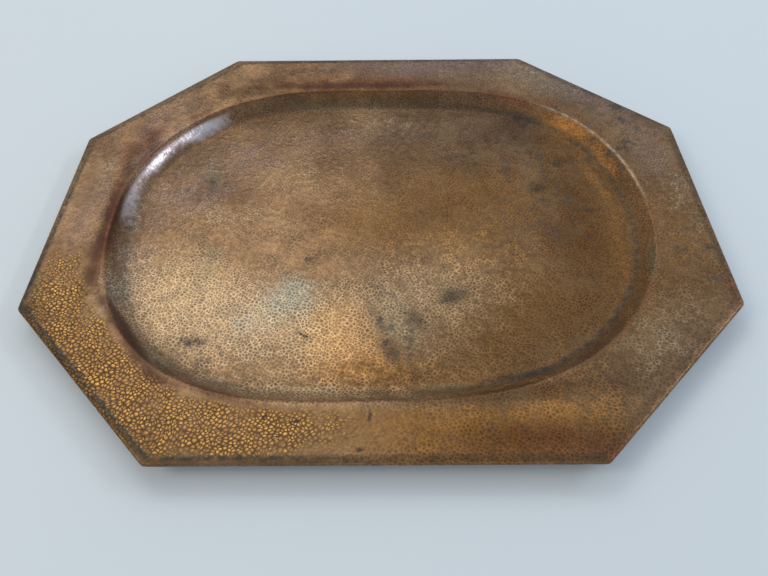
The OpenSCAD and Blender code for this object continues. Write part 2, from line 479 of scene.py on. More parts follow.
def build_sheet():
    """Points, flat places, triangles and what each point belongs to."""
    sheet = Sheet()
    start = None
    for ring, (points, flat) in enumerate(face_rings(0, 1)):
        added = sheet.add_ring(points, flat)
        if ring:
            sheet.add_faces(ring_triangles(start, added, ring), True)
        start = added
    size = SPOKES_PER_RING * TOP_RINGS

    address = outline_address(ring_shares(TOP_RINGS))
    outward = outline_outward(address)
    outside, inside = fold_section()
    section = np.concatenate([outside, inside])
    hidden_first = sheet.count + size * len(outside)
    steps = np.diff(section, axis=0, prepend=[[HEM_WIDTH, EDGE_Z]])
    travel = np.cumsum(np.linalg.norm(steps, axis=1))
    crease_flat = sheet.flat[-1]
    for (inset, z), length in zip(section, travel):
        plan = outline_at(address, inset)
        flat = crease_flat + length * outward
        added = sheet.add_ring(np.c_[plan, np.full(size, z)], flat)
        sheet.add_faces(band_triangles(start, added, size), True)
        start = added
    fold_count = sheet.count

    under = list(face_rings(SHEET_T, UNDERSIDE_COARSER))
    rings = len(under) - 1
    under_first = sum(len(faces) for faces in sheet.faces)
    fine = start
    for ring in range(rings, -1, -1):
        added = sheet.add_ring(*under[ring])
        if ring == rings:
            sheet.add_faces(halving_triangles(fine, added, size), False)
        else:
            sheet.add_faces(ring_triangles(added, start, ring + 1), False)
        start = added
    edge_flat = under[rings][1]
    between = mix(edge_flat, np.roll(edge_flat, -1, axis=0), 0.5)
    seam = np.stack([edge_flat, between], 1).reshape(size, 2) + SEAM_WIDTH * outward
    return {
        "points": np.concatenate(sheet.points),
        "flat": np.concatenate(sheet.flat),
        "faces": np.concatenate(sheet.faces),
        "hidden_first": hidden_first,
        "under_first": fold_count,
        "under_first_face": under_first,
        "seam_first": fine,
        "seam_flat": seam,
    }


# ------ shape of the surface
def swell(flat):
    """Slow unevenness: waves in seeded random directions, mostly between -1 and 1."""
    rng = np.random.default_rng(SWELL_SEED)
    lengths = rng.uniform(*SWELL_LENGTHS, SWELL_WAVES)
    directions = unit(rng.uniform(0, 2 * math.pi, SWELL_WAVES))
    phases = rng.uniform(0, 2 * math.pi, SWELL_WAVES)
    waves = np.zeros(len(flat))
    for length, direction, phase in zip(lengths, directions, phases):
        waves += np.sin(flat @ direction * 2 * math.pi / length + phase)
    return waves / math.sqrt(SWELL_WAVES)


def mark_places(flat):
    """Flat places in the marks' texture, in pitches: turned, and crowded here and there."""
    rng = np.random.default_rng(CROWDING_SEED)
    lengths = rng.uniform(*CROWDING_LENGTHS, CROWDING_WAVES)
    directions = unit(rng.uniform(0, 2 * math.pi, CROWDING_WAVES))
    shifts = CROWDING_SHIFT * unit(rng.uniform(0, 2 * math.pi, CROWDING_WAVES))
    phases = rng.uniform(0, 2 * math.pi, CROWDING_WAVES)
    crowded = flat.copy()
    for length, direction, shift, phase in zip(lengths, directions, shifts, phases):
        crowded += np.sin(flat @ direction * 2 * math.pi / length + phase)[:, None] * shift
    cosine, sine = unit(MARK_TURN)
    return crowded @ np.array([[cosine, sine], [-sine, cosine]]) / MARK_PITCH


def voronoi_distance(flat):
    """Distance to the nearest mark's middle, in pitches, from the material's own texture."""
    mesh = bpy.data.meshes.new("mark_samples")
    mesh.vertices.add(len(flat))
    mesh.vertices.foreach_set("co", float_row(level(mark_places(flat))))
    samples = bpy.data.objects.new("mark_samples", mesh)
    bpy.context.scene.collection.objects.link(samples)
    tree = bpy.data.node_groups.new("mark_samples", "GeometryNodeTree")
    for direction in ("INPUT", "OUTPUT"):
        tree.interface.new_socket("Geometry", in_out=direction, socket_type="NodeSocketGeometry")
    source = tree.nodes.new("NodeGroupInput")
    result = tree.nodes.new("NodeGroupOutput")
    place = tree.nodes.new("GeometryNodeInputPosition")
    voronoi = tree.nodes.new("ShaderNodeTexVoronoi")
    set_up_marks(voronoi)
    store = tree.nodes.new("GeometryNodeStoreNamedAttribute")
    store.data_type = "FLOAT"
    store.inputs["Name"].default_value = "distance"
    tree.links.new(place.outputs[0], voronoi.inputs["Vector"])
    tree.links.new(source.outputs[0], store.inputs["Geometry"])
    tree.links.new(voronoi.outputs["Distance"], store.inputs["Value"])
    tree.links.new(store.outputs[0], result.inputs[0])
    samples.modifiers.new("mark_samples", "NODES").node_group = tree
    sampled = samples.evaluated_get(bpy.context.evaluated_depsgraph_get()).data
    distance = np.zeros(len(flat), np.float32)
    sampled.attributes["distance"].data.foreach_get("value", distance)
    bpy.data.objects.remove(samples)
    bpy.data.meshes.remove(mesh)
    bpy.data.node_groups.remove(tree)
    return distance


def level(places):
    """Places in a plane with a third number, 0, added to each."""
    return np.c_[places, np.zeros(len(places))]


def float_row(values):
    """Numbers in one row, as Blender's foreach_set takes them."""
    return np.asarray(values, np.float32).ravel()


def set_up_marks(voronoi):
    """The settings of the hammer marks' texture, for the mesh and for the material."""
    voronoi.voronoi_dimensions = "2D"
    voronoi.inputs["Scale"].default_value = 1.0
    voronoi.inputs["Randomness"].default_value = MARK_RANDOMNESS


def mark_height(flat):
    """Height of the marks: 0 in the middle of each, about 1 on the ridges between them."""
    return np.clip(voronoi_distance(flat) / MARK_REACH, 0, MARK_HIGHEST) ** 2


def new_mesh(name, points, faces):
    """A smooth mesh in metres from points in millimetres and triangles."""
    mesh = bpy.data.meshes.new(name)
    mesh.vertices.add(len(points))
    mesh.vertices.foreach_set("co", float_row(points * MM))
    mesh.loops.add(faces.size)
    mesh.loops.foreach_set("vertex_index", faces.astype(np.int32).ravel())
    mesh.polygons.add(len(faces))
    mesh.polygons.foreach_set("loop_start", np.arange(0, faces.size, 3, dtype=np.int32))
    mesh.update(calc_edges=True)
    mesh.validate()
    mesh.shade_smooth()
    return mesh


def vertex_normals(mesh):
    """The mesh's vertex normals as an array."""
    normals = np.zeros(len(mesh.vertices) * 3, np.float32)
    mesh.vertices.foreach_get("normal", normals)
    return normals.reshape(-1, 3)


def displace(points, faces, height):
    """Points moved along their normals by heights in millimetres."""
    mesh = new_mesh("plain_sheet", points, faces)
    moved = points + vertex_normals(mesh) * height[:, None]
    bpy.data.meshes.remove(mesh)
    return moved


def store_floats(mesh, name, values):
    """Stores one number for each vertex."""
    mesh.attributes.new(name, "FLOAT", "POINT").data.foreach_set("value", float_row(values))


# ------ stains of the patina, with painted highlights, glints and reflection among them
# Each stain is an ellipse with a soft edge: x and y of its middle, its half length, its half
# width, the angle of its length in degrees, and its strength
STAINS = {
    # Bare, polished metal, and a painted sheen: a lighter colour where the lamps' broad highlight falls
    # on the floor and on the lower wall of the well
    "polish_and_painted_sheen": [
        (-170, -100, 95, 62, -20, 1.0), (-60, -130, 75, 55, 0, 0.7), (55, -90, 90, 60, 10, 0.6),
        (-150, 15, 80, 22, -10, 0.4), (-80, 75, 50, 35, 20, 0.35), (-235, -150, 60, 45, -45, 0.2),
        (-150, -235, 90, 28, -8, 0.5), (-285, 70, 25, 55, 80, 0.4), (-60, -240, 120, 22, 0, 0.45),
        # The first two on this line are painted light on the lower wall of the well
        (-70, -196, 60, 12, -4, 0.9), (10, -200, 110, 14, 0, 0.6), (235, -150, 60, 35, 45, 0.4),
        (60, 215, 120, 16, 0, 0.2), (165, 240, 45, 20, 0, 0.35), (10, 160, 70, 24, 0, 0.35),
        (300, 20, 20, 60, 0, 0.35),
    ],
    # Orange, where the copper is least darkened, and painted orange glints on the upper right wall of
    # the well
    "orange_and_painted_glints": [
        (-30, -135, 38, 45, 0, 0.9), (226, -85, 10, 45, -14, 0.2), (235, -15, 11, 50, 0, 0.3),
        # The last two here are painted glints on the wall of the well
        (228, 60, 9, 45, 18, 0.5), (208, 138, 34, 9, -40, 0.9), (240, 85, 30, 6, -68, 0.7),
        (205, -20, 35, 110, 0, 0.25), (0, -160, 60, 25, 0, 0.5), (90, -40, 80, 50, 0, 0.4),
        (90, -185, 70, 14, 8, 0.4),
        (60, -235, 120, 30, 0, 0.55), (150, -220, 50, 30, 30, 0.5), (-230, -160, 50, 50, -45, 0.3),
    ],
    # Red-brown oxide
    "red": [
        (-20, 216, 120, 12, 0, 0.9), (-264, 10, 7, 110, 5, 0.9), (-250, 120, 14, 50, -30, 0.7),
        (215, 60, 30, 90, 0, 0.35), (120, -240, 80, 22, 5, 0.7), (160, 185, 60, 8, -22, 0.8),
        (40, 110, 90, 45, 0, 0.25),
        (190, -30, 40, 90, 0, 0.35), (310, -105, 10, 25, 0, 0.7), (170, -250, 25, 12, 0, 0.8),
        (-300, -10, 14, 60, 0, 0.35), (150, 120, 60, 50, 0, 0.3), (-20, 240, 150, 24, 0, 0.35),
    ],
    # Grey-green and olive bloom
    "olive": [
        (-160, -60, 14, 45, 0, 0.7), (-80, -95, 34, 28, 40, 0.9), (-175, 75, 14, 18, 0, 0.7),
        (-40, 192, 110, 6, 0, 0.7), (180, 175, 60, 5, -35, 0.5), (255, -60, 6, 30, -15, 0.8),
        (-50, -190, 25, 6, 0, 0.8), (60, -188, 30, 7, 0, 0.7), (-305, -95, 12, 26, 0, 0.8),
        (-120, -120, 24, 16, 0, 0.5), (40, 95, 60, 30, 0, 0.35), (230, -150, 60, 40, 45, 0.35),
        (18, -125, 24, 52, 28, 0.75), (-200, 100, 45, 40, 0, 0.3), (290, 0, 22, 110, 0, 0.35),
        (-60, -5, 60, 30, -20, 0.3),
    ],
    # Mauve-grey film, and a painted reflection of the grey-mauve surroundings on the top and right rims
    "haze_and_painted_reflection": [
        # The first and third here are painted reflection on the top and right rims
        (60, 245, 160, 28, 0, 0.8), (-235, 180, 60, 30, 45, 0.4), (285, 80, 30, 80, 0, 0.45),
        (240, 185, 60, 35, -45, 0.7), (-290, 0, 24, 90, 0, 0.5), (-150, 100, 80, 50, 0, 0.45),
        (0, 140, 120, 45, 0, 0.35), (-200, 40, 60, 40, 0, 0.5), (-100, -110, 60, 40, 20, 0.7),
        (-250, 110, 20, 60, -20, 0.7), (-190, -100, 60, 70, 0, 0.4), (-230, -60, 20, 90, 0, 0.5),
    ],
    # Pale grey-green bloom
    "bloom": [
        (-82, -92, 32, 24, 40, 0.9), (-115, -122, 20, 12, 0, 0.6), (-243, -20, 8, 90, 3, 0.5),
        (-236, -95, 14, 40, -25, 0.5), (-185, -165, 30, 14, -40, 0.5), (-130, -182, 26, 8, -15, 0.5),
        (240, -150, 50, 30, 45, 0.3), (190, 215, 70, 30, -40, 0.5), (300, -20, 18, 60, 0, 0.3),
    ],
    # Dark patina on the rim, with painted gold glints on the tops of the marks, where the lamp behind
    # at the left is reflected
    "gold_ground_and_painted_glints": [
        (-240, -155, 80, 34, -45, 1.0), (-205, -190, 70, 34, -42, 1.0), (-130, -230, 90, 26, -8, 0.95),
        (-284, -90, 24, 50, 10, 0.9), (-298, 40, 16, 70, 0, 0.4), (-50, -225, 90, 26, 0, 0.6),
    ],
    # Dark red-brown along the ridge of the well
    "maroon": [
        (-263, -20, 7, 80, 2, 0.9), (-220, -132, 80, 7, -52, 1.0), (-135, -197, 60, 6, -16, 0.7),
        (-250, 90, 40, 5, 66, 0.8), (-205, 162, 45, 5, 38, 0.6), (-30, 212, 140, 7, 0, 0.75),
        (60, -208, 130, 5, 2, 0.5), (-300, -115, 14, 22, 0, 0.4),
    ],
    # Where the line along the ridge of the well is a painted highlight in cream rather than red-brown
    "ridge_painted_highlight": [
        (245, 85, 20, 80, 25, 1.0), (200, 150, 40, 30, -40, 0.8), (-215, 140, 60, 30, 40, 0.5),
        (150, -195, 60, 20, 20, 0.5),
    ],
    # Painted highlight: a pale, silvery colour on the wall of the well, where the lamp at the right is
    # reflected
    "painted_silver_highlight": [
        (-257, 35, 12, 50, 8, 0.6), (-242, 98, 12, 44, -22, 0.85), (-208, 146, 38, 14, 38, 1.0),
    ],
    # Heavy brown tarnish that dulls the sheet
    "tarnish": [
        (200, -10, 50, 120, 0, 0.55), (0, 196, 130, 9, 0, 0.5), (0, -120, 24, 30, 0, 0.35),
        (65, 35, 50, 40, 0, 0.3), (100, 125, 40, 25, 0, 0.3), (140, 130, 75, 50, -20, 0.5),
        (-264, 0, 10, 130, 0, 0.85),
        (-245, -163, 85, 32, -45, 0.85), (-120, -240, 110, 24, 0, 0.75), (-60, 235, 60, 26, 0, 0.5),
        (-160, 205, 100, 28, 25, 0.5), (110, -240, 90, 22, 0, 0.6), (-160, -70, 70, 40, 0, 0.25),
        (-250, 115, 12, 45, -25, 0.6), (200, 190, 60, 20, -45, 0.1), (-20, 214, 150, 10, 0, 0.6),
        (-290, -80, 22, 40, 0, 0.2), (150, -130, 70, 40, 20, 0.3), (120, -200, 90, 10, 5, 0.6),
    ],
    # Deep warm brown
    "warm": [
        (80, -235, 130, 30, 0, 1.0), (290, -40, 30, 90, 0, 0.7), (130, -110, 110, 70, 20, 0.9),
        (225, 0, 40, 150, 0, 0.9), (110, 40, 110, 80, 0, 0.8), (-120, -235, 110, 24, 0, 0.7),
        (0, 0, 90, 50, 0, 0.6), (200, 115, 30, 40, 30, 0.7), (0, -180, 130, 24, 0, 0.7),
        (-30, 205, 150, 12, 0, 0.6), (-250, -160, 80, 30, -45, 0.5), (20, 100, 80, 40, 0, 0.3),
    ],
    # Where small slate-grey blotches gather
    "spotted": [
        (175, 40, 60, 110, 0, 0.6), (262, 120, 40, 60, 0, 0.9), (20, -125, 34, 60, 25, 0.7),
        (300, -60, 30, 60, 0, 0.8), (60, 110, 90, 50, 0, 0.5), (-290, 60, 30, 90, 0, 0.4),
        (-190, 60, 40, 40, 0, 0.6), (60, -235, 120, 26, 0, 0.4), (120, 235, 90, 26, 0, 0.4),
        (-150, -150, 50, 30, 0, 0.6), (-100, 200, 80, 20, 0, 0.4),
    ],
    # Dark spots and blotches
    "dark": [
        (0, -112, 8, 26, 22, 0.5), (34, -118, 12, 26, 35, 0.6), (14, -150, 12, 22, 30, 0.7),
        (70, -92, 20, 13, 10, 0.75), (62, -58, 9, 7, 0, 0.5),
        (-65, -48, 12, 8, 0, 0.4), (45, 5, 34, 22, 0, 0.45), (195, 85, 12, 12, 0, 0.55),
        (160, 140, 14, 16, 0, 0.45), (215, 20, 14, 10, 0, 0.5), (165, 50, 12, 16, 0, 0.5),
        (200, -70, 10, 12, 0, 0.45), (262, 138, 26, 16, -30, 0.4), (262, 92, 10, 13, 0, 0.6),
        (303, -55, 10, 16, 0, 0.5), (292, -80, 14, 9, 0, 0.45), (-65, -133, 12, 2.2, -30, 0.7),
        (-178, 62, 10, 22, 0, 0.5), (95, 95, 22, 20, 0, 0.5), (20, 90, 34, 22, 0, 0.3),
        (-160, -140, 15, 10, 0, 0.6), (120, -178, 60, 8, 8, 0.7), (-85, -222, 9, 1.8, 60, 0.7),
        (-3, -222, 1.8, 14, 0, 0.7), (-10, -250, 5, 2.5, 0, 0.6), (-312, -118, 14, 12, 0, 0.6),
        (170, 160, 34, 12, -25, 0.5), (250, 115, 22, 24, 0, 0.3), (-30, -140, 5, 4, 0, 0.4),
        (-60, -225, 8, 2, 20, 0.6), (205, 210, 12, 10, 0, 0.4), (110, 60, 70, 50, 0, 0.25),
    ],
}


def stain_field(flat, stains):
    """How much of one kind of stain each place has, from 0 to 1."""
    left = np.ones(len(flat))
    for x, y, half_length, half_width, angle, strength in stains:
        along = unit(math.radians(angle))
        across = np.array([-along[1], along[0]])
        away = flat - (x, y)
        reach = (away @ along / half_length) ** 2 + (away @ across / half_width) ** 2
        left *= 1 - strength * np.exp(-reach)
    return 1 - left


# ------ the hammered sheet
# The underside's places on the flattened sheet lie beside the upper face's
UNDERSIDE_OFFSET = np.array([1000.0, 0.0])
UNDERSIDE_STAIN_SHARE = 0.4
# How far the underside's seam lies outside its last ring on the flattened sheet
SEAM_WIDTH = 2.5
# Islands of the UV map: left, bottom, width and height
UV_TOP = (0.005, 0.315, 0.99, 0.68)
UV_UNDER = (0.005, 0.005, 0.99, 0.295)


def fit_uv(flat, island):
    """Flat places scaled into an island: its left, bottom, width and height."""
    low = flat.min(axis=0)
    high = flat.max(axis=0)
    left, bottom, width, height = island
    return np.array([left, bottom]) + (flat - low) / (high - low) * (width, height)


def edge_distance(plan):
    """Distance inside the edge of the octagon, before the shifts of its corners."""
    x, y = np.abs(plan).T
    diagonal = (HALF_LENGTH + HALF_WIDTH - CORNER_CUT - x - y) / math.sqrt(2)
    return np.minimum(np.minimum(HALF_LENGTH - x, HALF_WIDTH - y), diagonal)


def ridge_distance(plan):
    """Distance outside the ridge of the well, less than 0 inside it."""
    angles = np.arctan2(plan[:, 1], plan[:, 0]) % (2 * math.pi)
    samples = np.arctan2(OVAL_PLACES[:, 1], OVAL_PLACES[:, 0]) % (2 * math.pi)
    samples[-1] = 2 * math.pi
    reach = np.interp(angles, samples, np.linalg.norm(OVAL_PLACES, axis=1))
    facing = np.interp(angles, samples, np.sum(OVAL_OUTWARD * unit(samples), axis=1))
    return (np.linalg.norm(plan, axis=1) - reach) * facing


def sheet_points(made):
    """The sheet's points with its hammer marks and its slow unevenness."""
    points = made["points"]
    number = np.arange(len(points))
    under = number >= made["under_first"]
    hidden = (number >= made["hidden_first"]) & ~under
    places = made["flat"] + np.where(under[:, None], UNDERSIDE_OFFSET, 0)
    marks = (mark_height(places) - 0.5) * MARK_DEPTH
    marks[under] *= UNDERSIDE_MARK_SHARE
    marks[hidden] = 0
    points = displace(points, made["faces"], marks)
    plan = made["points"][:, :2]
    fading = smooth(edge_distance(plan), HEM_WIDTH, SWELL_FADE)
    points[:, 2] += SWELL_HEIGHT * (swell(plan) + 1) * fading
    # Nothing reaches below the plane that the tray rests on
    points[under, 2] = np.maximum(points[under, 2], 0)
    return points


def sheet_maps(mesh, made):
    """Gives the mesh its UV map and its places on the flattened sheet, for each corner."""
    faces = made["faces"]
    loops = faces.ravel()
    under = np.repeat(np.arange(len(faces)) >= made["under_first_face"], 3)
    flat = made["flat"][loops]
    seam = under & (loops >= made["seam_first"]) & (loops < made["under_first"])
    flat[seam] = made["seam_flat"][loops[seam] - made["seam_first"]]
    uv = np.empty_like(flat)
    uv[~under] = fit_uv(flat[~under], UV_TOP)
    uv[under] = fit_uv(flat[under] * (-1, 1), UV_UNDER)
    mesh.uv_layers.new(name="OFBake").data.foreach_set("uv", float_row(uv))
    places = flat + np.where(under[:, None], UNDERSIDE_OFFSET, 0)
    for name, pairs in (("sheet_place", places), ("mark_place", mark_places(places))):
        layer = mesh.attributes.new(name, "FLOAT_VECTOR", "CORNER")
        layer.data.foreach_set("vector", float_row(level(pairs)))


def make_sheet():
    """The whole sheet, hammered, with its maps and the fields that its material reads."""
    made = build_sheet()
    mesh = new_mesh("hammered_sheet", sheet_points(made), made["faces"])
    sheet_maps(mesh, made)
    plan = made["points"][:, :2]
    under = np.arange(len(plan)) >= made["under_first"]
    for name, stains in STAINS.items():
        field = stain_field(plan, stains)
        store_floats(mesh, name, np.where(under, UNDERSIDE_STAIN_SHARE * field, field))
    store_floats(mesh, "ridge_distance", np.where(under, RIM_WIDTH, ridge_distance(plan)))
    store_floats(mesh, "edge_distance", edge_distance(plan))
    return finished_piece("hammered_sheet", mesh, "tray_sheet", copper_material())


def finished_piece(name, mesh, node, material):
    """A piece that stands for a CAD node, in place and with its material."""
    piece = bpy.data.objects.new(name, mesh)
    bpy.context.scene.collection.objects.link(piece)
    mesh.materials.append(material)
    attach(piece, "root")
    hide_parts(node)
    return piece


# ------ the stiffening wire
def make_wire():
    """The wire inside the fold, whose ends meet in the middle of the short side at -X."""
    outline_length = 4 * (HALF_LENGTH + HALF_WIDTH - CORNER_CUT * (1 - math.sqrt(0.5)))
    gap_share = WIRE_END_GAP / 2 / outline_length
    address = outline_address(0.5 + np.linspace(gap_share, 1 - gap_share, WIRE_RINGS))
    path = outline_at(address, FOLD_OUT)
    outward = outline_outward(address)
    rings = []
    for angle in np.arange(WIRE_SIDES) * 2 * math.pi / WIRE_SIDES:
        plan = path + WIRE_RADIUS * math.cos(angle) * outward
        rings.append(np.c_[plan, np.full(len(plan), WIRE_Z + WIRE_RADIUS * math.sin(angle))])
    points = np.stack(rings, 1).reshape(-1, 3)
    starts = np.arange(WIRE_RINGS) * WIRE_SIDES
    faces = [band_triangles(start, start + WIRE_SIDES, WIRE_SIDES) for start in starts[:-1]]

    # A flat fan of triangles closes each end
    ends = np.c_[path[[0, -1]], [WIRE_Z, WIRE_Z]]
    first_end = np.full(WIRE_SIDES, len(points))
    here = np.arange(WIRE_SIDES)
    following = (here + 1) % WIRE_SIDES
    faces.append(np.stack([first_end, here, following], -1))
    faces.append(np.stack([first_end + 1, starts[-1] + following, starts[-1] + here], -1))
    faces = np.concatenate(faces)[:, ::-1]
    mesh = new_mesh("stiffening_wire", np.concatenate([points, ends]), faces)
    return finished_piece("stiffening_wire", mesh, "edge_wire", iron_material())


# ------ material helpers
def new_material(name):
    """A material with an empty node tree."""
    material = bpy.data.materials.new(name)
    material.use_nodes = True
    material.node_tree.nodes.clear()
    return material


def add(tree, kind, inputs=None, **settings):
    """Adds a node with its settings, and links or sets its inputs."""
    node = tree.nodes.new(kind)
    for name, value in settings.items():
        setattr(node, name, value)
    for name, value in (inputs or {}).items():
        if isinstance(value, bpy.types.NodeSocket):
            tree.links.new(value, node.inputs[name])
        else:
            node.inputs[name].default_value = value
    return node


def calculate(tree, operation, first, second, clamp=False):
    """The result of a Math node."""
    inputs = {0: first, 1: second}
    return add(tree, "ShaderNodeMath", inputs, operation=operation, use_clamp=clamp).outputs[0]


def product(tree, first, *factors):
    """The product of two or more values."""
    for factor in factors:
        first = calculate(tree, "MULTIPLY", first, factor)
    return first


def total(tree, first, *terms):
    """The sum of two or more values."""
    for term in terms:
        first = calculate(tree, "ADD", first, term)
    return first


def without(tree, value):
    """1 less a value."""
    return calculate(tree, "SUBTRACT", 1, value)


def ramp(tree, value, low, high, start=0.0, end=1.0):
    """A smooth step of a value between low and high, from start to end."""
    inputs = {"Value": value, "From Min": low, "From Max": high, "To Min": start, "To Max": end}
    return add(tree, "ShaderNodeMapRange", inputs, interpolation_type="SMOOTHSTEP").outputs[0]


def band(tree, value, middle, half_width):
    """1 where a value is at the middle, fading to 0 at a distance from it."""
    away = calculate(tree, "ABSOLUTE", calculate(tree, "SUBTRACT", value, middle), 0)
    return ramp(tree, away, half_width, 0)


def blend(tree, share, first, second, how="MIX"):
    """The result of a colour Mix node."""
    inputs = {0: share, 6: first, 7: second}
    return add(tree, "ShaderNodeMix", inputs, data_type="RGBA", blend_type=how).outputs[2]


def grey(tree, value):
    """A grey of a value, as a colour."""
    return add(tree, "ShaderNodeCombineColor", {0: value, 1: value, 2: value}).outputs[0]


def noise(tree, place, size, detail, rough=0.55, shift=0.0):
    """Noise with features of a size in millimetres, about 0 to 1."""
    moved = add(tree, "ShaderNodeVectorMath", {0: place, 1: (shift, shift, 0)}, operation="ADD")
    inputs = {"Vector": moved.outputs[0], "Scale": 1 / size, "Detail": detail, "Roughness": rough}
    return add(tree, "ShaderNodeTexNoise", inputs, noise_dimensions="2D").outputs["Fac"]


def attribute(tree, name, output="Fac"):
    """A value that the mesh carries."""
    return add(tree, "ShaderNodeAttribute", attribute_name=name).outputs[output]


def finish_material(tree, **inputs):
    """Adds the shader with its inputs, named with _ for a space, and the output."""
    inputs = {name.replace("_", " "): value for name, value in inputs.items()}
    shader = add(tree, "ShaderNodeBsdfPrincipled", inputs)
    result = add(tree, "ShaderNodeOutputMaterial")
    tree.links.new(shader.outputs[0], result.inputs[0])


# ------ hammered copper
class Copper:
    """The fields that the copper's colour, roughness and relief are made from."""

    def __init__(self, tree):
        self.tree = tree
        place = attribute(tree, "sheet_place", "Vector")
        # Noise from coarse to fine, each taken from another part of the pattern
        self.cloud = noise(tree, place, 70, 4)
        self.patch = noise(tree, place, 22, 4, 0.6, 400)
        self.blotch = noise(tree, place, 12, 4, 0.6, 2100)
        self.grain = noise(tree, place, 6, 4, 0.65, 900)
        self.speck = noise(tree, place, 1.6, 3, 0.6, 1500)
        # About -1 to 1
        self.uneven = total(tree, self.patch, self.grain, -1)
        self.ridge = attribute(tree, "ridge_distance")
        self.edge = attribute(tree, "edge_distance")
        across = add(tree, "ShaderNodeSeparateXYZ", {0: place}).outputs[0]
        self.rightward = ramp(tree, across, -120, 200)

        # The same marks as in the mesh: how far from their middles and from the ridges
        # between them, and two random values for each
        mark_place = attribute(tree, "mark_place", "Vector")
        marks = add(tree, "ShaderNodeTexVoronoi", {"Vector": mark_place})
        borders = add(tree, "ShaderNodeTexVoronoi", {"Vector": mark_place}, feature="DISTANCE_TO_EDGE")
        set_up_marks(marks)
        set_up_marks(borders)
        own = add(tree, "ShaderNodeSeparateColor", {0: marks.outputs["Color"]}).outputs
        self.from_middle = marks.outputs["Distance"]
        self.from_border = borders.outputs["Distance"]
        self.own_tone = own[0]
        self.own_depth = own[1]

        self.stains = {name: self.stained(name, *edge) for name, edge in STAIN_EDGES.items()}
        # The painted silver highlight lies only on the wall, inside the ridge
        self.stains["painted_silver_highlight"] = product(tree, self.stains["painted_silver_highlight"], ramp(tree, self.ridge, -2, -6))
        self.stains["gold_ground_and_painted_glints"] = product(tree, self.stains["gold_ground_and_painted_glints"], ramp(tree, self.ridge, 0, 12, 0.15, 1))
        # Painted glints in gold on the tops of the rim's marks
        self.painted_glint = self.painted_gold_glints()

    def stained(self, name, spread, low, high):
        """A stain's field with its border broken up by noise."""
        tree = self.tree
        field = total(tree, product(tree, self.uneven, spread), attribute(tree, name))
        return ramp(tree, field, low, high)

    def painted_gold_glints(self):
        """Painted glints: gold on the tops of the marks, brighter in their middles."""
        tree = self.tree
        top = ramp(tree, self.from_border, 0, 0.26)
        middle = ramp(tree, self.from_middle, 0.6, 0.1, 0.35, 1)
        own = ramp(tree, self.own_depth, 0, 1, 0.6, 1)
        patchy = ramp(tree, self.patch, 0.35, 0.65, 0.55, 1)
        return product(tree, top, middle, own, patchy, self.stains["gold_ground_and_painted_glints"])

    def patina(self):
        """Brown patina, from lighter to darker in clouds, with its stains, painted sheen, glints and
        reflection among them, and tarnish.
        """
        tree = self.tree
        base = blend(tree, ramp(tree, self.cloud, 0.3, 0.7), BROWN_DARK, BROWN_LIGHT)
        base = blend(tree, ramp(tree, self.patch, 0.35, 0.75, 0, 0.45), base, BROWN_UMBER)
        for name, strength, colour in PATINA_LAYERS:
            base = blend(tree, product(tree, self.stains[name], strength), base, colour)
        return blend(tree, self.stains["tarnish"], base, TARNISHED, "MULTIPLY")

    def tone(self):
        """How light the metal is: each mark has its own tone, varied by the noise."""
        tree = self.tree
        own = ramp(tree, self.own_tone, 0, 1, 0.88, 1.12)
        fine = ramp(tree, self.speck, 0.25, 0.75, 0.84, 1.16)
        patchy = ramp(tree, self.patch, 0.3, 0.7, 0.9, 1.1)
        grainy = ramp(tree, self.grain, 0.3, 0.7, 0.9, 1.1)
        return product(tree, own, fine, patchy, grainy)

    def net(self):
        """The marks' look: darker in their middles, and worn light on the ridges between."""
        tree = self.tree
        # The marks show more strongly under the polish and the painted sheen
        polish_and_sheen = ramp(tree, self.stains["polish_and_painted_sheen"], 0, 1, 0.5, 1)
        patchy = ramp(tree, self.patch, 0.3, 0.7, -0.25, 0.25)
        marked = calculate(tree, "ADD", polish_and_sheen, patchy, True)
        grainy = ramp(tree, self.grain, 0.3, 0.7, 0.65, 1.25)
        marked = product(tree, marked, without(tree, self.stains["gold_ground_and_painted_glints"]), grainy)
        worn = ramp(tree, self.from_border, 0.01, 0.2, 0.75, 0)
        sunk = ramp(tree, self.from_middle, 0.55, 0.1, 0, 0.55)
        sunk = product(tree, sunk, ramp(tree, self.own_depth, 0, 1, 0.5, 1))
        return total(tree, product(tree, calculate(tree, "SUBTRACT", worn, sunk), marked), 1)

    def hammered(self, base):
        """The patina with its marks, its painted silver highlight, its dark ground with painted gold
        glints, and the dark red along the ridge.
        """
        tree = self.tree
        base = blend(tree, 1.0, base, grey(tree, product(tree, self.net(), self.tone())), "MULTIPLY")
        # Painted highlight in a pale, silvery colour on the wall
        base = blend(tree, self.stains["painted_silver_highlight"], base, PAINTED_SILVER_HIGHLIGHT)
        base = blend(tree, product(tree, self.stains["gold_ground_and_painted_glints"], GOLD_GROUND_SHARE), base, GOLD_GROUND)
        # Painted gold glints over the dark ground
        base = blend(tree, self.painted_glint, base, PAINTED_GLINT_GOLD)
        base = blend(tree, 1.0, base, FILM, "MULTIPLY")
        return blend(tree, product(tree, self.stains["maroon"], MAROON_SHARE), base, MAROON)

    def spotted(self, base):
        """Adds slate-grey blotches, dark blotches and small specks."""
        tree = self.tree
        blotches = ramp(tree, self.blotch, 0.5, 0.7)
        specked = ramp(tree, self.speck, 0.3, 0.7, 0.45, 0.9)
        base = blend(tree, product(tree, blotches, self.stains["spotted"], specked), base, SLATE)
        specked = ramp(tree, self.speck, 0.3, 0.6, 0.5, 0.85)
        base = blend(tree, product(tree, self.stains["dark"], specked), base, BLACKENED)
        return blend(tree, ramp(tree, self.speck, 0.66, 0.74, 0, 0.6), base, BLACKENED)

    def lined(self, base):
        """Darkens the crease and the foot of the wall, and adds the line of the ridge with its painted
        highlight.
        """
        tree = self.tree
        broken = ramp(tree, self.grain, 0.3, 0.6)
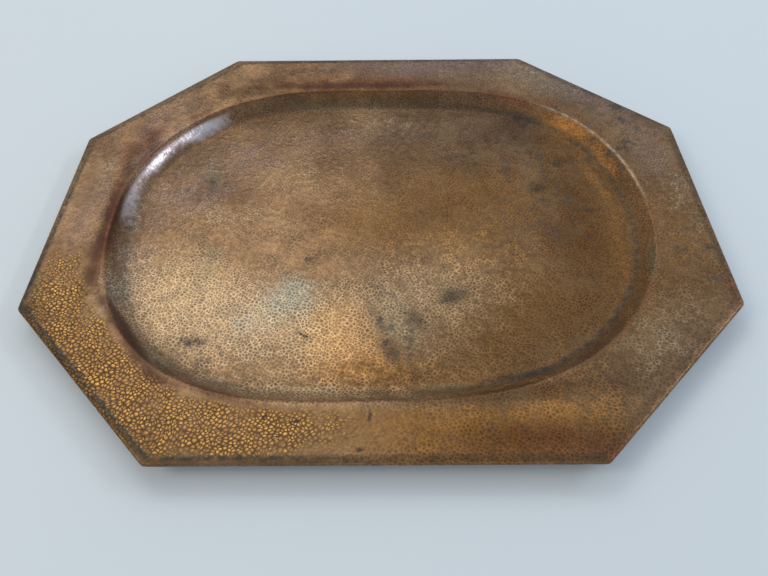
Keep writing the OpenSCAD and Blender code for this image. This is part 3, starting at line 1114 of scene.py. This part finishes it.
        # A dark line along the crease, stronger towards the left
        crease = band(tree, self.edge, HEM_WIDTH, CREASE_DARK_WIDTH)
        crease = product(tree, crease, broken, ramp(tree, self.rightward, 0, 0.4, 0.85, 0.3))
        base = blend(tree, crease, base, DARK_LINE)
        # A dark line at the foot of the wall, stronger towards the right
        foot = band(tree, self.ridge, -WALL_RUN, FOOT_DARK_WIDTH)
        foot = product(tree, foot, broken, ramp(tree, self.rightward, 0, 1, 0.15, 0.7))
        base = blend(tree, foot, base, DARK_LINE)
        # The line along the ridge: red-brown, and a painted highlight in cream where the ridge would
        # catch the lamps
        line = band(tree, self.ridge, RIDGE_LINE_PLACE, RIDGE_LINE_WIDTH)
        line = product(tree, line, ramp(tree, self.grain, 0.3, 0.65, 0.15, 0.5))
        return blend(tree, line, base, blend(tree, self.stains["ridge_painted_highlight"], RED_BROWN, CREAM_PAINTED_HIGHLIGHT))

    def roughness(self):
        """Smoother under the painted silver highlight and the painted glints, rougher where dark and on
        the wall of the well.
        """
        tree = self.tree
        wall = band(tree, self.ridge, WALL_SHEEN_PLACE, WALL_SHEEN_WIDTH)
        wall = product(tree, wall, without(tree, self.stains["painted_silver_highlight"]))
        rough = total(
            tree,
            ramp(tree, self.patch, 0.3, 0.7, 0.32, 0.46),
            product(tree, self.stains["painted_silver_highlight"], -0.2),
            product(tree, self.painted_glint, -0.14),
            product(tree, self.stains["dark"], 0.2),
            product(tree, wall, 0.2),
        )
        return calculate(tree, "ADD", rough, ramp(tree, self.speck, 0.2, 0.8, -0.08, 0.08), True)

    def relief(self):
        """The marks' relief again, with the metal's grain, as a bump."""
        tree = self.tree
        hollow = calculate(tree, "DIVIDE", self.from_middle, MARK_REACH)
        fine = ramp(tree, self.speck, 0, 1, 0, 0.25)
        coarse = ramp(tree, self.grain, 0, 1, 0, 0.5)
        height = total(tree, calculate(tree, "POWER", hollow, 2.0), fine, coarse)
        inputs = {"Strength": MARK_BUMP, "Distance": MARK_DEPTH * MM, "Height": height}
        return add(tree, "ShaderNodeBump", inputs).outputs[0]


def copper_material():
    """Beaten copper with a brown patina, worn on the ridges between its hammer marks, with painted
    highlights, glints and reflection.
    """
    material = new_material("hammered_copper")
    tree = material.node_tree
    copper = Copper(tree)
    base = copper.lined(copper.spotted(copper.hammered(copper.patina())))
    metal = calculate(tree, "SUBTRACT", 0.95, product(tree, copper.stains["dark"], 0.4))
    rough = copper.roughness()
    finish_material(tree, Base_Color=base, Metallic=metal, Roughness=rough, Normal=copper.relief())
    return material


# ------ iron wire
def iron_material():
    """Dull iron wire with a film of rust."""
    material = new_material("iron_wire")
    tree = material.node_tree
    place = add(tree, "ShaderNodeTexCoord").outputs["Object"]
    inputs = {0: place, "Scale": 1 / MM}
    place = add(tree, "ShaderNodeVectorMath", inputs, operation="SCALE").outputs[0]
    patch = noise(tree, place, 9, 4)
    fine = noise(tree, place, 0.7, 3)
    base = blend(tree, ramp(tree, patch, 0.4, 0.65), IRON, RUST)
    base = blend(tree, ramp(tree, fine, 0.5, 0.8, 0, 0.5), base, BLACKENED)
    rough = ramp(tree, patch, 0.3, 0.7, 0.45, 0.8)
    inputs = {"Strength": IRON_BUMP, "Distance": IRON_GRAIN_DEPTH * MM, "Height": fine}
    bump = add(tree, "ShaderNodeBump", inputs).outputs[0]
    finish_material(tree, Base_Color=base, Metallic=IRON_METALLIC, Roughness=rough, Normal=bump)
    return material


# ------ floor, light and camera
def make_floor():
    """A plain pale floor, just under the tray."""
    mesh = bpy.data.meshes.new("floor")
    signs = ((-1, -1), (1, -1), (1, 1), (-1, 1))
    corners = [(x * FLOOR_HALF, y * FLOOR_HALF, -FLOOR_GAP) for x, y in signs]
    mesh.from_pydata(corners, [], [(0, 1, 2, 3)])
    floor = bpy.data.objects.new("floor", mesh)
    bpy.context.scene.collection.objects.link(floor)
    material = new_material("pale_floor")
    finish_material(material.node_tree, Base_Color=FLOOR_COLOUR, Roughness=FLOOR_ROUGHNESS)
    mesh.materials.append(material)


def make_lamp(name, direction, distance, size, power, tint):
    """A soft rectangular lamp in a direction from the tray, aimed at it; metres and watts."""
    lamp = bpy.data.lights.new(name, "AREA")
    lamp.shape = "RECTANGLE"
    lamp.size, lamp.size_y = size
    lamp.energy = power
    lamp.color = tint
    holder = bpy.data.objects.new(name, lamp)
    aim = Vector(direction).normalized()
    holder.location = aim * distance
    holder.rotation_euler = aim.to_track_quat("Z", "Y").to_euler()
    bpy.context.scene.collection.objects.link(holder)


def make_world():
    """Pale surroundings, brighter near the horizon."""
    world = bpy.data.worlds.new("surroundings")
    world.use_nodes = True
    tree = world.node_tree
    background = tree.nodes["Background"]
    background.inputs["Color"].default_value = SURROUNDINGS
    upward = add(tree, "ShaderNodeTexCoord").outputs["Generated"]
    height = add(tree, "ShaderNodeSeparateXYZ", {0: upward}).outputs[2]
    strength = ramp(tree, height, 0, HORIZON_FADE, HORIZON_STRENGTH, OVERHEAD_STRENGTH)
    tree.links.new(strength, background.inputs["Strength"])
    bpy.context.scene.world = world


def make_camera():
    """The camera, looking down on the tray's front side."""
    camera = bpy.data.cameras.new("camera")
    camera.lens = CAMERA_LENS
    camera.sensor_width = CAMERA_SENSOR
    holder = bpy.data.objects.new("camera", camera)
    holder.location = CAMERA_PLACE
    holder.rotation_euler = CAMERA_TURN
    bpy.context.scene.collection.objects.link(holder)
    bpy.context.scene.camera = holder


for lamp_settings in LAMPS:
    make_lamp(*lamp_settings)
make_world()
make_camera()
make_floor()
make_sheet()
make_wire()

scene_view = bpy.context.scene.view_settings
scene_view.view_transform = "Standard"
